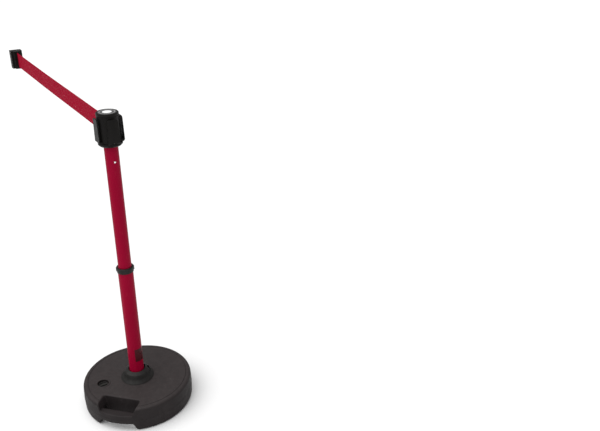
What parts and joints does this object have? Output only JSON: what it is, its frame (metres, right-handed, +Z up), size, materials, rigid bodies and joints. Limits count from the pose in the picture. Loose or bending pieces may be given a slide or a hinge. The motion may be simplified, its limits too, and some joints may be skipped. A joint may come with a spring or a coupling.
{
  "type": "retractable belt stanchion",
  "caption": "Crowd-control post with a fillable round base, telescoping painted tubes and a black head whose spring reel feeds a woven belt with an end clip.",
  "frame": {"origin": "centre of the base on the floor", "axes": "+Z up along the post; the belt leaves the head along +Y; receivers face +X, -X and -Y"},
  "size_m": [0.363, 1.2801, 1.02],
  "materials": {
    "base_plastic": "textured",
    "fill_cap_plastic": "satin",
    "seal_rubber": "matte",
    "ballast_sand": "matte",
    "black_nylon": "satin",
    "red_tube_paint": "satin",
    "zinc_steel": "satin",
    "bright_steel": "polished",
    "spring_steel": "satin",
    "white_nylon": "satin",
    "head_plastic": "satin",
    "label_film": "gloss",
    "drum_plastic": "satin",
    "belt_webbing": "woven",
    "wrap_film": "gloss"
  },
  "bodies": {
    "base": {"base_shell": "base_plastic", "ballast_fill": "ballast_sand", "socket_insert": "black_nylon", "socket_nut": "black_nylon"},
    "fill_seal": {"fill_cap_seal": "seal_rubber"},
    "fill_plug": {"fill_cap": "fill_cap_plastic"},
    "post": {"post_foot": "black_nylon", "foot_key_pin": "zinc_steel", "lower_tube": "red_tube_paint", "tube_label": "wrap_film", "collar_ferrule": "zinc_steel", "clamp_collet": "white_nylon"},
    "collar": {"twist_collar": "black_nylon"},
    "mast": {"upper_tube": "red_tube_paint", "glide_plug": "white_nylon", "glide_rivets": "zinc_steel", "head_spigot": "black_nylon", "head_lock_spring": "spring_steel", "head_housing": "head_plastic", "belt_slot_bezel": "head_plastic", "receiver_left": "head_plastic", "receiver_right": "head_plastic", "receiver_front": "head_plastic", "receiver_screws": "zinc_steel", "head_cap": "head_plastic", "cap_label": "label_film", "spool_axle": "zinc_steel", "axle_screw": "zinc_steel", "power_spring": "spring_steel", "belt_guide_pins": "zinc_steel", "belt_lead": "belt_webbing"},
    "lock_button": {"head_lock_button": "bright_steel"},
    "spool": {"spool_drum": "drum_plastic", "spool_lower_bush": "white_nylon", "spool_upper_bush": "white_nylon", "belt_roll": "belt_webbing"},
    "belt_end": {"belt": "belt_webbing", "clip_nose": "head_plastic", "clip_hook": "head_plastic", "clip_pin": "zinc_steel", "clip_screws": "zinc_steel"}
  },
  "joints": [
    {"name": "post_lift", "type": "slide", "parent": "base", "child": "post", "axis": [0, 0, 1], "range_m": [0, 0.107]},
    {"name": "collar_twist", "type": "hinge", "parent": "post", "child": "collar", "pos_m": [0, 0, 0.505], "axis": [0, 0, 1], "range_deg": [0, 120]},
    {"name": "post_telescope", "type": "slide", "parent": "post", "child": "mast", "axis": [0, 0, 1], "range_m": [-0.33, 0]},
    {"name": "head_button", "type": "slide", "parent": "mast", "child": "lock_button", "axis": [0, 1, 0], "range_m": [0, 0.0035], "stiffness_N_per_m": 600, "springref_m": -0.001, "deforming": ["head_lock_spring"]},
    {"name": "belt_pull", "type": "slide", "parent": "mast", "child": "belt_end", "axis": [0, 1, 0], "range_m": [-1.018, 0], "deforming": ["belt"]},
    {"name": "spool_turn", "type": "hinge", "parent": "mast", "child": "spool", "pos_m": [0, 0, 0.9725], "axis": [0, 0, 1], "continuous": true},
    {"name": "fill_cap_rise", "type": "slide", "parent": "base", "child": "fill_seal", "axis": [0, 0, 1], "range_m": [0, 0.012]},
    {"name": "fill_cap_turn", "type": "hinge", "parent": "fill_seal", "child": "fill_plug", "pos_m": [-0.11406, 0.02114, 0.077], "axis": [0, 0, 1], "range_deg": [0, 1080]}
  ],
  "couplings": [
    {"joint": "spool_turn", "follows": "belt_pull", "rad_per_m": -51.282},
    {"joint": "fill_cap_rise", "follows": "fill_cap_turn", "m_per_rad": 0.00063662}
  ]
}
